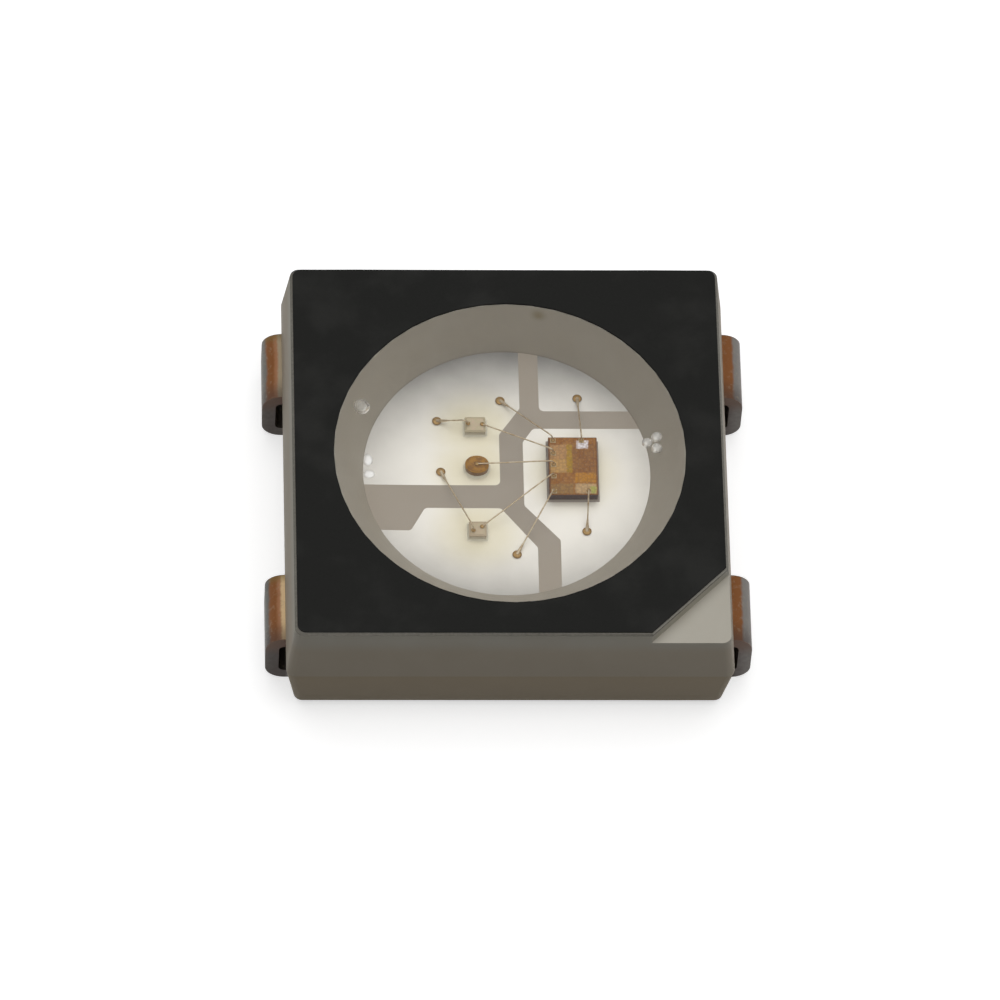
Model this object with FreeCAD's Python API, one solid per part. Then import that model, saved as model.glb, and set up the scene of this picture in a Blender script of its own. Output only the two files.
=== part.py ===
"""Surface-mount light-emitting diode in a square moulded package, with its own driver chip inside.

A white moulded housing holds four pieces of stamped lead frame. Each piece is a pad in the floor of a round
reflector cup, and a lead that leaves the side wall, folds down and folds in under the body as a solder foot.
Three light chips and one driver chip sit on the pads, joined by gold bond wires. Clear resin fills the cup.
The top face is printed black, apart from a sunk corner that marks pin 3.

Millimetres. The origin is the middle of the footprint, on the plane of the solder feet. +Z is the way the
light leaves, the leads leave the body along X, and the marked corner is at +X, -Y.
"""

import FreeCAD
import Part

import math
import os

V = FreeCAD.Vector

# Package
body_side = 5.00            # across the walls at the parting line, both ways
overall_height = 1.58       # solder feet to the top of the print
standoff = 0.10             # feet to the underside of the body
top_inset = 0.085           # lean of each wall, parting line to top
base_inset = 0.10           # lean of each wall, parting line to underside
corner_radius = 0.10        # the four upright corners
edge_bevel = 0.025          # the edges round the top and the underside

# Print on the top face
print_thickness = 0.02
print_margin = 0.025        # bare plastic round the outside of the print
window_margin = 0.01        # bare plastic round the cup's rim

# Reflector cup
rim_diameter = 3.88
floor_diameter = 3.26
cup_depth = 0.76            # rim to the pads in the floor
resin_sag = 0.05            # the resin's top is this much lower in the middle

# Sunk corner that marks pin 3
mark_leg = 0.86             # along each wall, at the top face
mark_depth = 0.15

# Lead frame
sheet = 0.15                # thickness of the stamped strip
lead_width = 0.85
lead_pitch = 3.20           # between the two leads of a side
lead_overhang = 0.22        # beyond the wall, at each side
bend_inside = 0.07          # inside radius of both folds
foot_length = 1.00          # from the lead's outer face
pad_grip = 0.32             # how far a pad runs on into the wall, past the cup's floor
pocket_gap = 0.03           # above each foot, in the underside
pocket_clearance = 0.08     # beside and beyond each foot, in the underside

# Slots between the pads: the plastic that shows in the cup's floor
spine_left = -0.075         # left side of the middle slot, beside the driver chip
spine_width = 0.265
rear_slot_left = 0.165      # left side of the slot behind it
rear_slot_width = 0.22
rear_slot_start = 0.87      # where the left side of that slot is reached
spine_start = 0.52
front_slot_left = 0.33      # left side of the slot in front of it
front_slot_width = 0.26
front_slot_start = -0.98
left_slot_top = -0.15       # cross slot to the left
left_slot_width = 0.305
right_slot_bottom = 0.60    # cross slot to the right
right_slot_width = 0.235
bevel_width = 0.12          # cut-off corner of the driver chip's pad
bevel_length = 0.18
vss_turn_top = -0.42        # where the driver chip's pad leaves the middle slot
vss_turn_bottom = -0.88
notch_start = -0.93         # notch in the front left pad, beside the cross slot
notch_slant = 0.17
notch_depth = 0.305
pad_corner = 0.06           # rounding of the pads' corners

# Underside
gate_diameter = 0.80        # round recess where the mould was filled
gate_depth = 0.04

# Chips: middle of each in plan, and its size
driver_at = (0.745, 0.030)
driver_size = (0.55, 0.78, 0.17)
green_at = (-0.345, 0.610)
green_size = (0.27, 0.21, 0.10)
red_at = (-0.335, 0.075)
red_size = (0.27, 0.26, 0.12)
red_corner = 0.09
blue_at = (-0.345, -0.775)
blue_size = (0.21, 0.20, 0.10)
glue_height = 0.02          # chip to pad
glue_margin = 0.03          # how far the glue spreads at the pad

# Bond wires
wire_diameter = 0.022
ball_diameter = 0.076       # squashed ball on a chip
ball_height = 0.020
tack_diameter = 0.096       # larger ball that holds a wire's end on a pad
tack_height = 0.034
bond_inset = 0.055          # from a chip's edge to its bond pads
neck_height = 0.13          # first bond to the top of the loop, where a wire turns
sunk = 0.006                # depth of a wire's end inside its ball

# Far ends of the wires that go to pads, in plan
vdd_tack_at = (-0.054, 0.968)
din_tack_at = (0.821, 1.001)
dout_tack_at = (0.093, -1.077)
vss_tack_at = (0.888, -0.770)
green_tack_at = (-0.774, 0.697)
blue_tack_at = (-0.742, 0.022)

# How far a cutting shape runs past what it cuts
overcut = 1.0

# Worked out from the sizes above
body_half = body_side / 2
top_half = body_half - top_inset
base_half = body_half - base_inset
plastic_top = overall_height - print_thickness
frame_top = plastic_top - cup_depth        # the pads' upper faces, and the parting line
frame_bottom = frame_top - sheet
rim_radius = rim_diameter / 2
floor_radius = floor_diameter / 2
lead_reach = body_half + lead_overhang     # middle of the part to a lead's outer face
bend_outside = bend_inside + sheet
pad_reach = floor_radius + pad_grip
chip_base = frame_top + glue_height
wire_radius = wire_diameter / 2
spine_right = spine_left + spine_width
rear_slot_right = rear_slot_left + rear_slot_width
front_slot_right = front_slot_left + front_slot_width
left_slot_bottom = left_slot_top - left_slot_width
right_slot_top = right_slot_bottom + right_slot_width
mark_line = 2 * top_half - mark_leg        # x - y along the marked corner's long edge


def square(half, z):
    """A square outline centred on the origin at height z."""
    corners = [V(-half, -half, z), V(half, -half, z), V(half, half, z), V(-half, half, z)]
    return Part.makePolygon([*corners, corners[0]])


def upright_edges(shape):
    """The edges of a shape that join a lower corner to an upper one."""
    level = print_thickness / 2
    return [e for e in shape.Edges if abs(e.Vertexes[0].Z - e.Vertexes[-1].Z) > level]


def level_edges(shape, z):
    """The edges of a shape that lie at height z."""
    level = print_thickness / 2
    return [e for e in shape.Edges if all(abs(v.Z - z) < level for v in e.Vertexes)]


def rounded_outline(corners, z):
    """A closed outline through corners of (x, y, radius), each rounded to its radius."""
    runs, arcs = [], []
    count = len(corners)
    for i, (x, y, radius) in enumerate(corners):
        here = V(x, y, z)
        before = V(corners[i - 1][0], corners[i - 1][1], z)
        after = V(corners[(i + 1) % count][0], corners[(i + 1) % count][1], z)
        back, on = (before - here).normalize(), (after - here).normalize()
        half_angle = back.getAngle(on) / 2
        setback = radius / math.tan(half_angle)
        start, end = here + back * setback, here + on * setback
        if radius > 0:
            middle = (back + on).normalize()
            centre = here + middle * (radius / math.sin(half_angle))
            arcs.append(Part.Arc(start, centre - middle * radius, end).toShape())
        else:
            arcs.append(None)
        runs.append((start, end))
    edges = []
    for i in range(count):
        if arcs[i]:
            edges.append(arcs[i])
        edges.append(Part.LineSegment(runs[i][1], runs[(i + 1) % count][0]).toShape())
    return Part.Wire(edges)


def plate(outline, thickness):
    """A flat outline made thickness thick, upwards."""
    return Part.Face(outline).extrude(V(0, 0, thickness))


def block(centre, size, z):
    """A block standing at height z, with its middle at centre in plan."""
    length, width, height = size
    corner = V(centre[0] - length / 2, centre[1] - width / 2, z)
    return Part.makeBox(length, width, height, corner)


def turned(points_and_arcs):
    """A solid turned about Z from a half section of lines and three-point arcs in the XZ plane."""
    edges = []
    for run in points_and_arcs:
        points = [V(x, 0, z) for x, z in run]
        curve = Part.LineSegment(*points) if len(points) == 2 else Part.Arc(*points)
        edges.append(curve.toShape())
    return Part.Face(Part.Wire(edges)).revolve(V(0, 0, 0), V(0, 0, 1), 360)


def mark_prism(z, height, margin=0.0):
    """A prism over the marked corner, its long edge moved towards the middle by the margin."""
    line = mark_line - margin * math.sqrt(2)
    far = body_half + overcut
    corners = [V(line - far, -far, z), V(far, -far, z), V(far, far - line, z)]
    outline = Part.makePolygon([*corners, corners[0]])
    return plate(outline, height)


def lead_strip(side, y):
    """The folded strip of one lead: through the wall, down, and in under the body."""
    bend_x = lead_reach - bend_outside
    upper_z = frame_top - bend_outside
    corner = math.sqrt(0.5)
    foot_end = lead_reach - foot_length

    def bow(radius, z, up):
        """An arc of a fold from its level end to its upright end."""
        level = V(bend_x, 0, z + up * radius)
        middle = V(bend_x + corner * radius, 0, z + up * corner * radius)
        return [level, middle, V(bend_x + radius, 0, z)]

    outer_top = bow(bend_outside, upper_z, 1)
    outer_low = bow(bend_outside, bend_outside, -1)
    inner_top = bow(bend_inside, upper_z, 1)
    inner_low = bow(bend_inside, bend_outside, -1)
    start_top, start_low = V(floor_radius, 0, frame_top), V(floor_radius, 0, frame_bottom)
    toe_low, toe_top = V(foot_end, 0, 0), V(foot_end, 0, sheet)
    edges = [
        Part.LineSegment(start_top, outer_top[0]),
        Part.Arc(*outer_top),
        Part.LineSegment(outer_top[2], outer_low[2]),
        Part.Arc(*outer_low),
        Part.LineSegment(outer_low[0], toe_low),
        Part.LineSegment(toe_low, toe_top),
        Part.LineSegment(toe_top, inner_low[0]),
        Part.Arc(*inner_low),
        Part.LineSegment(inner_low[2], inner_top[2]),
        Part.Arc(*inner_top),
        Part.LineSegment(inner_top[0], start_low),
        Part.LineSegment(start_low, start_top),
    ]
    strip = Part.Face(Part.Wire([e.toShape() for e in edges])).extrude(V(0, lead_width, 0))
    strip.translate(V(0, -lead_width / 2, 0))
    if side < 0:
        strip = strip.mirror(V(0, 0, 0), V(1, 0, 0))
    strip.translate(V(0, y, 0))
    return strip


def lead(side, rear, pad_corners):
    """One piece of the lead frame: its pad in the cup's floor and its folded lead."""
    pad = plate(rounded_outline(pad_corners, frame_bottom), sheet)
    strip = lead_strip(side, rear * lead_pitch / 2)
    return pad.fuse(strip).removeSplitter()


def make_leads():
    """The four pieces of the lead frame, by the name of the pin."""
    r, edge = pad_corner, pad_reach
    vdd_pad = [
        (-edge, left_slot_top, 0),
        (spine_left, left_slot_top, r),
        (spine_left, spine_start, r),
        (rear_slot_left, rear_slot_start, r),
        (rear_slot_left, edge, 0),
        (-edge, edge, 0),
    ]
    dout_pad = [
        (-edge, -edge, 0),
        (front_slot_left, -edge, 0),
        (front_slot_left, front_slot_start, r),
        (spine_left, left_slot_bottom, r),
        (notch_start, left_slot_bottom, r),
        (notch_start - notch_slant, left_slot_bottom - notch_depth, r),
        (-edge, left_slot_bottom - notch_depth, 0),
    ]
    vss_pad = [
        (front_slot_right, -edge, 0),
        (edge, -edge, 0),
        (edge, right_slot_bottom, 0),
        (spine_right + bevel_width, right_slot_bottom, r),
        (spine_right, right_slot_bottom - bevel_length, r),
        (spine_right, vss_turn_top, r),
        (front_slot_right, vss_turn_bottom, r),
    ]
    din_pad = [
        (rear_slot_right, right_slot_top, r),
        (edge, right_slot_top, 0),
        (edge, edge, 0),
        (rear_slot_right, edge, 0),
    ]
    return {
        "lead_vdd": lead(-1, 1, vdd_pad),
        "lead_dout": lead(-1, -1, dout_pad),
        "lead_vss": lead(1, -1, vss_pad),
        "lead_din": lead(1, 1, din_pad),
    }


def foot_pocket(side, rear):
    """The room for one solder foot in the underside of the body."""
    length = foot_length + pocket_clearance
    width = lead_width + 2 * pocket_clearance
    centre = (side * (lead_reach - length / 2), rear * lead_pitch / 2)
    return block(centre, (length, width, sheet + pocket_gap), 0)


def make_housing(leads):
    """The moulded body: leaning walls, reflector cup, sunk corner, and room for the leads."""
    sections = [
        square(base_half, standoff),
        square(body_half, frame_top),
        square(top_half, plastic_top),
    ]
    body = Part.makeLoft(sections, True, True)
    body = body.makeFillet(corner_radius, upright_edges(body))
    rims = level_edges(body, standoff) + level_edges(body, plastic_top)
    body = body.makeChamfer(edge_bevel, rims)
    cup = Part.makeCone(floor_radius, rim_radius, cup_depth, V(0, 0, frame_top))
    body = body.cut(cup).cut(mark_prism(plastic_top - mark_depth, overcut))
    for side in (-1, 1):
        for rear in (-1, 1):
            body = body.cut(foot_pocket(side, rear))
    recess = Part.makeCylinder(gate_diameter / 2, gate_depth, V(0, 0, standoff))
    return body.cut(recess).cut(Part.makeCompound(list(leads.values())))


def make_print():
    """The black print on the top face, open over the cup and clear of the marked corner."""
    sheet_of_ink = plate(square(top_half - print_margin, plastic_top), print_thickness)
    sheet_of_ink = sheet_of_ink.makeFillet(corner_radius, upright_edges(sheet_of_ink))
    window_radius = rim_radius + window_margin
    window = Part.makeCylinder(window_radius, print_thickness, V(0, 0, plastic_top))
    corner = mark_prism(plastic_top, print_thickness, print_margin)
    return sheet_of_ink.cut(window).cut(corner)


def glue_for(centre, size):
    """The layer that holds a chip: as wide as the chip at the top, wider at the pad."""
    outlines = []
    for spread, height in ((glue_margin, 0), (0, glue_height)):
        x, y = size[0] / 2 + spread, size[1] / 2 + spread
        corners = [V(-x, -y, 0), V(x, -y, 0), V(x, y, 0), V(-x, y, 0), V(-x, -y, 0)]
        move = V(centre[0], centre[1], frame_top + height)
        outlines.append(Part.makePolygon([c + move for c in corners]))
    return Part.makeLoft(outlines, True, True)


def make_chips():
    """The driver chip and the three light chips."""
    red = block(red_at, red_size, chip_base)
    return {
        "driver_chip": block(driver_at, driver_size, chip_base),
        "green_chip": block(green_at, green_size, chip_base),
        "red_chip": red.makeFillet(red_corner, upright_edges(red)),
        "blue_chip": block(blue_at, blue_size, chip_base),
    }


def make_glue():
    """The glue under each chip."""
    return {
        "driver_glue": glue_for(driver_at, driver_size),
        "green_glue": glue_for(green_at, green_size),
        "red_glue": glue_for(red_at, red_size),
        "blue_glue": glue_for(blue_at, blue_size),
    }


def loop_line(span, drop):
    """A bond wire's line in the XZ plane: up its neck, and from there straight to its far end."""
    foot = V(0, 0, ball_height - sunk)
    return Part.makePolygon([foot, V(0, 0, neck_height), V(span, 0, sunk + wire_radius - drop)])


def bond_wire(first, second, on_pad):
    """A gold wire from a ball on one chip to a pad, or to a ball on another chip."""
    start, end = V(*first), V(*second)
    level = V(end.x - start.x, end.y - start.y, 0)
    line = loop_line(level.Length, start.z - end.z)
    section = Part.Wire(Part.makeCircle(wire_radius, line.Vertexes[0].Point))
    strand = line.makePipeShell([section], True, False, 1)
    ball = Part.makeCylinder(ball_diameter / 2, ball_height)
    far = Part.makeCylinder(tack_diameter / 2, tack_height) if on_pad else ball.copy()
    far.translate(V(level.Length, 0, end.z - start.z))
    whole = strand.fuse([ball, far])
    whole.rotate(V(0, 0, 0), V(0, 0, 1), math.degrees(math.atan2(level.y, level.x)))
    whole.translate(start)
    return whole


def on_chip(centre, size, x_share, y_share):
    """A bond pad on a chip: shares run from -1 to 1, edge bond to edge bond."""
    x = centre[0] + x_share * (size[0] / 2 - bond_inset)
    y = centre[1] + y_share * (size[1] / 2 - bond_inset)
    return (x, y, chip_base + size[2])


def on_pad(place):
    """A point on the pads' upper faces."""
    return (place[0], place[1], frame_top)


def make_wires():
    """The nine bond wires: four to the pins, three drives, and two supplies to light chips."""
    def driver(x_share, y_share):
        return on_chip(driver_at, driver_size, x_share, y_share)

    green_drive = on_chip(green_at, green_size, 1, 0)
    green_supply = on_chip(green_at, green_size, -1, 0)
    red_top = on_chip(red_at, red_size, 0, 0)
    blue_drive = on_chip(blue_at, blue_size, 1, 0.6)
    blue_supply = on_chip(blue_at, blue_size, -1, -0.6)
    return {
        "wire_vdd": bond_wire(driver(-1, 1), on_pad(vdd_tack_at), True),
        "wire_din": bond_wire(driver(0.45, 1), on_pad(din_tack_at), True),
        "wire_dout": bond_wire(driver(-1, -1), on_pad(dout_tack_at), True),
        "wire_vss": bond_wire(driver(0.75, -1), on_pad(vss_tack_at), True),
        "wire_green_drive": bond_wire(driver(-1, 0.5), green_drive, False),
        "wire_red_drive": bond_wire(driver(-1, 0.05), red_top, False),
        "wire_blue_drive": bond_wire(driver(-1, -0.4), blue_drive, False),
        "wire_green_supply": bond_wire(green_supply, on_pad(green_tack_at), True),
        "wire_blue_supply": bond_wire(blue_supply, on_pad(blue_tack_at), True),
    }


def make_resin(inside):
    """The clear filling of the cup, with a dished top, cast round everything on the pads."""
    dish_middle = plastic_top - resin_sag
    dish_radius = (rim_radius**2 + resin_sag**2) / (2 * resin_sag)
    half_out = rim_radius / 2
    half_way = dish_middle + dish_radius - math.sqrt(dish_radius**2 - half_out**2)
    filling = turned([
        [(0, frame_top), (floor_radius, frame_top)],
        [(floor_radius, frame_top), (rim_radius, plastic_top)],
        [(rim_radius, plastic_top), (half_out, half_way), (0, dish_middle)],
        [(0, dish_middle), (0, frame_top)],
    ])
    for piece in inside:
        filling = filling.cut(piece)
    return filling


def main():
    leads = make_leads()
    glue, chips, wires = make_glue(), make_chips(), make_wires()
    inside = [*glue.values(), *chips.values(), *wires.values()]
    nodes = {"housing": make_housing(leads), "black_print": make_print()}
    nodes.update({**leads, **glue, **chips, **wires, "clear_resin": make_resin(inside)})
    os.makedirs("parts", exist_ok=True)
    for name, shape in nodes.items():
        shape.exportStep(f"parts/{name}.step")
        print(name, len(shape.Solids), "solid", round(shape.Volume, 6), "mm3", shape.isValid())


main()
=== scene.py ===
"""Looks of a surface-mount LED with its own driver chip: plastic, print, leads, chips, wires and resin.

Metres, in the part's own frame: +Z is the way the light leaves, and the marked corner is at +X, -Y.
"""

import math

import bmesh
import bpy
from bpy.props import FloatProperty, FloatVectorProperty, IntProperty, PointerProperty
from mathutils import Matrix, Vector


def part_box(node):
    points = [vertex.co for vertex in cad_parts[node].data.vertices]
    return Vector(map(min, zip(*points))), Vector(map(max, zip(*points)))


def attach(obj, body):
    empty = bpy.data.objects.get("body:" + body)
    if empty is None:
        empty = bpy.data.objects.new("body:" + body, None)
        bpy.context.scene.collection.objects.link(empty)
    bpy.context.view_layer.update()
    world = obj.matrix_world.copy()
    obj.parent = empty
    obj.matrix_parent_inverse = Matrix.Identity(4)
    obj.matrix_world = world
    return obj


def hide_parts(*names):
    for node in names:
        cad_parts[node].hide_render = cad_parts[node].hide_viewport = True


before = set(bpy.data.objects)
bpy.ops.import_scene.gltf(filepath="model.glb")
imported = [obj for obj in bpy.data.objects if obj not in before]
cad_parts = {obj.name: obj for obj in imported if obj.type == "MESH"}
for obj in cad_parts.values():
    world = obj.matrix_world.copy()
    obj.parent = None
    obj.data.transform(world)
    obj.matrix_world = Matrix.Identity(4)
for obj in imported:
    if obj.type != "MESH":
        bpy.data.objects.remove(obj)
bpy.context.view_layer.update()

bl_info = {
    "name": "Surface-mount LED looks",
    "version": (1, 0, 0),
    "blender": (4, 5, 0),
    "location": "3D View > Sidebar > LED",
    "description": "Dresses a packed surface-mount LED with its materials, bond wires, resin and stage",
    "category": "Object",
}

BODY = "root"
MM = 0.001


def mm(*sizes, base=0):
    """Millimetres as metres, counted from a base in metres."""
    return tuple(base + size * MM for size in sizes)


LEADS = ("lead_vdd", "lead_dout", "lead_vss", "lead_din")

# Which way each bond wire runs from its first bond: -1 is left or to the front, 1 is right or to the rear
WIRES_TO_PADS = {
    "wire_vdd": (-1, 1),
    "wire_din": (-1, 1),
    "wire_dout": (-1, -1),
    "wire_vss": (-1, -1),
    "wire_green_supply": (-1, 1),
    "wire_blue_supply": (-1, 1),
}
WIRES_TO_CHIPS = {
    "wire_green_drive": (-1, 1),
    "wire_red_drive": (-1, 1),
    "wire_blue_drive": (-1, -1),
}

# Levels and extents that the pieces share, from the frame
HOUSING_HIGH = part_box("housing")[1]
RESIN_LOW, RESIN_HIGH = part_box("clear_resin")
PAD_LEVEL = RESIN_LOW.z
PLASTIC_TOP = HOUSING_HIGH.z
RIM_RADIUS = RESIN_HIGH.x
BODY_HALF = HOUSING_HIGH.x

# Sizes that the frame's boxes don't give: leads, the cup's floor and wall, and the print's window
LEAD_MIDDLE = 1.60 * MM
LEAD_HALF_WIDTH = 0.425 * MM
FLOOR_RADIUS = 1.63 * MM
WINDOW_MARGIN = 0.01 * MM
WALL_ROWS = 3

# The cup's rim in the photograph: a little wider than in the frame, and off the middle
RIM_GROWTH = 0.022 * MM
RIM_SHIFT = Vector(mm(0.018, -0.031))

# The resin and the two skins of its bubbles: how clear, how rough and the size of the ripples. The skins'
# white, less clear part is a painted highlight on each bubble.
RESIN_FINISHES = {
    "clear_resin": (1.0, 0.0, 0.9 * MM),
    "faint_skin": (0.88, 0.25, 0.05 * MM),
    "bright_skin": (0.68, 0.25, 0.05 * MM),
}
FAINT, BRIGHT = 1, 2
RIPPLE_DEPTH = 0.004 * MM

# The resin's sagging top: how finely it is made, and the power by which it rises to the rim
SAG_STEPS = 24
SAG_POWER = 4

# Air left in the resin by the walls: place, radius and which of the finishes above
BUBBLES = (
    (mm(-1.635, 0.636, 1.415), 0.094 * MM, FAINT),
    (mm(1.565, 0.151, 1.445), 0.060 * MM, BRIGHT),
    (mm(1.676, 0.226, 1.445), 0.062 * MM, BRIGHT),
    (mm(1.671, 0.078, 1.445), 0.062 * MM, BRIGHT),
)

# Beads on a pad at the foot of the cup's wall, smooth and white, that stand as painted highlights: place in
# plan and half sizes
GLINT_BEADS = (
    (mm(-1.570, 0.180), mm(0.055, 0.076, 0.012)),
    (mm(-1.560, -0.012), mm(0.066, 0.056, 0.014)),
)

# A brown stain on the cup's rear wall: middle and reach
STAIN = mm(0.385, 1.855, 1.445)
STAIN_REACH = 0.13 * MM

# Where the plastic's tones change, each from where it starts to where it is full
UP_TO_CUP = mm(-1, 0, base=PAD_LEVEL)
SLOTS = mm(0.03, 0, base=PAD_LEVEL)
# Down the outer walls and below the parting line the plastic turns darker and warmer: in part a real tint, in
# part painted shade
PARTING = mm(0.02, -0.02, base=PAD_LEVEL)
LOW_WALL = mm(-0.14, -0.35, base=PLASTIC_TOP)
REAR_EDGE = mm(-0.20, -0.10, base=BODY_HALF)
WITHIN_RIM = mm(0.03, -0.02)
BEYOND_RIM = mm(0.004, 0.010)
INK_EDGE = mm(0, 0.006)

# A lead's tones outwards across its fold: where each starts, where it is full, and its strength if below 1
ORANGE_BAND = mm(0.030, 0.065)
COPPER_BAND = mm(0.060, 0.110)
OUTER_BAND = mm(0.185, 0.225)
SHEARED_BAND = (*mm(0.12, 0.30), 0.5)

# The same by height
OUTER_FACE = mm(-0.20, -0.30, base=PAD_LEVEL)
FOOT = mm(-0.30, -0.40, base=PAD_LEVEL)
UMBER_EDGE = (*mm(-0.36, -0.08, base=PAD_LEVEL), 0.8)

# The same along the lead's width, from its middle
OCHRE_END = (*mm(0.30, 0.42), 0.6)
DARK_END = (*mm(-0.12, -0.43), 0.62)
CUT_SIDE = mm(-0.010, -0.003, base=LEAD_HALF_WIDTH)

# Blocks of circuit on the driver chip, as shares of its face: left and right sides, front and rear sides
BLOCKS = {
    "rose": (0.03, 0.37, 0.62, 0.86),
    "tan": (0.03, 0.37, 0.39, 0.62),
    "olive": (0.37, 0.49, 0.39, 0.86),
    "russet": (0.49, 0.96, 0.39, 0.88),
    "umber": (0.03, 0.50, 0.03, 0.20),
    "orange": (0.53, 0.96, 0.22, 0.38),
    "pale": (0.53, 0.97, 0.03, 0.20),
    "moss": (0.84, 0.96, 0.04, 0.15),
}
# A pale metal patch in the same shares, whose paleness is also a painted highlight
BARE_GLINT_BLOCK = (0.58, 0.82, 0.80, 0.93)
BLOCK_BLUR = 0.012 * MM

# Fine cells over the blocks
CELL_SIZE = 0.035 * MM
CELL_TINT = 0.22

# The paler middle of a light chip's top, as a share of it
MESA_SHARE = 0.80
MESA_BLUR = 0.006 * MM

# How far below a chip's highest point its sides give way to its top: from and to
DRIVER_TOP = mm(0.012, 0.006)
CRYSTAL_TOP = mm(0.045, 0.015)

# Each chip's piece, how much of the CAD chip's length and width it takes, and how round it is in plan
DIES = {
    "driver_chip": ("driver_die", (1.00, 0.98), 0.03),
    "green_chip": ("green_die", (0.86, 0.94), 0.10),
    "red_chip": ("red_die", (0.99, 0.88), 0.95),
    "blue_chip": ("blue_die", (0.94, 0.98), 0.10),
}

# Steps round a chip's corner and up its glue, and how round and how high a bond pad is
CORNER_STEPS = 8
FILLET_STEPS = 5
PAD_ROUNDNESS = 0.2
PAD_RISE = 0.002 * MM

# How finely the bond wires' bends and balls are made
BEND_STEPS = 10
BALL_SEGMENTS = 24
BALL_RINGS = 14

# Points nearer than this are one point
WELD = 0.00005 * MM

# How the circles of a CAD mesh are found and cut finer
ON_CIRCLE = 0.001 * MM
LONGEST_STEP = 0.22
CUTS = 5
SHARP = math.radians(30)


def length(name, description, size):
    """A size that a user may change, written in millimetres and kept in metres."""
    return FloatProperty(name=name, description=description, default=size * MM, unit="LENGTH", precision=6)


def share(name, description, default):
    """A number from 0 to 1 that a user may change."""
    return FloatProperty(name=name, description=description, default=default, min=0, max=1, subtype="FACTOR")


def level(name, description, default):
    """A plain number that a user may change."""
    return FloatProperty(name=name, description=description, default=default)


def angle(name, description, degrees):
    """An angle that a user may change."""
    return FloatProperty(name=name, description=description, default=math.radians(degrees), subtype="ANGLE")


def colour(name, description, default):
    """A linear colour that a user may change."""
    return FloatVectorProperty(
        name=name, description=description, default=default, size=3, min=0, max=1, subtype="COLOR"
    )


class StageSettings(bpy.types.PropertyGroup):
    """Camera, light and floor."""

    elevation: angle("Elevation", "How far the camera looks down", 58.05)
    azimuth: angle("Azimuth", "How far the camera stands to the left", -4.86)
    roll: angle("Roll", "Turn of the picture", 4.20)
    distance: length("Distance", "Camera to the middle of the footprint", 124.28)
    offset_x: length("Offset right", "Camera axis to the right of the middle", -0.0335)
    offset_y: length("Offset up", "Camera axis above the middle", 0.2635)
    lens: level("Lens", "Focal length in millimetres, on a 36 mm sensor", 395.51)
    sky_high: level("Bright sky", "Light from above", 1.85)
    sky_low: level("Dim sky", "Light from the sides", 0.09)
    sky_edge: level("Edge of the bright sky", "Cosine of the angle from its middle where it ends", 0.55)
    sky_lean: angle("Lean of the bright sky", "From straight up towards the back", 8)
    sky_side: angle("Side lean of the bright sky", "From straight up towards the right", 4)
    floor_colour: share("Floor", "How pale the floor is", 0.70)
    floor_bounce: share("Floor bounce", "How pale the floor is to light that it sends up", 0.13)
    floor_glow: level("Floor glow", "White added to what the camera sees of the floor", 0.60)
    floor_half: length("Floor size", "Half the side of the floor", 250)


class PlasticSettings(bpy.types.PropertyGroup):
    """White moulded housing."""

    white: colour("White", "Plastic of the sunk corner and the top of the walls", (0.485, 0.46, 0.395))
    cup: colour("Cup", "Plastic inside the cup", (0.462, 0.424, 0.355))
    slots: colour("Slots", "Plastic between the pads", (0.37, 0.325, 0.272))
    # The wall and base tones are darker than the white, in part as painted shade
    wall: colour("Wall", "Plastic of the walls, towards the parting line", (0.465, 0.41, 0.325))
    base: colour("Base", "Plastic below the parting line", (0.42, 0.345, 0.24))
    mottle: share("Mottle", "Strength of the cloudy variation", 0.10)
    stain: colour("Stain", "Brown stain on the cup's rear wall", (0.25, 0.19, 0.08))
    grain: length("Grain", "Depth of the mould's surface grain", 0.0004)


class InkSettings(bpy.types.PropertyGroup):
    """Black print on the top face."""

    black: colour("Black", "Ink", (0.0085, 0.0087, 0.0076))
    worn: colour("Worn", "Ink where it is thin", (0.0165, 0.0165, 0.0150))
    grain: length("Grain", "Depth of the print's grain", 0.0008)
    spread: length("Spread", "How far down the outer edge the ink runs", 0.032)
    cover: share("Cover", "How much of the plastic the ink hides where it has run", 0.58)


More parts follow.
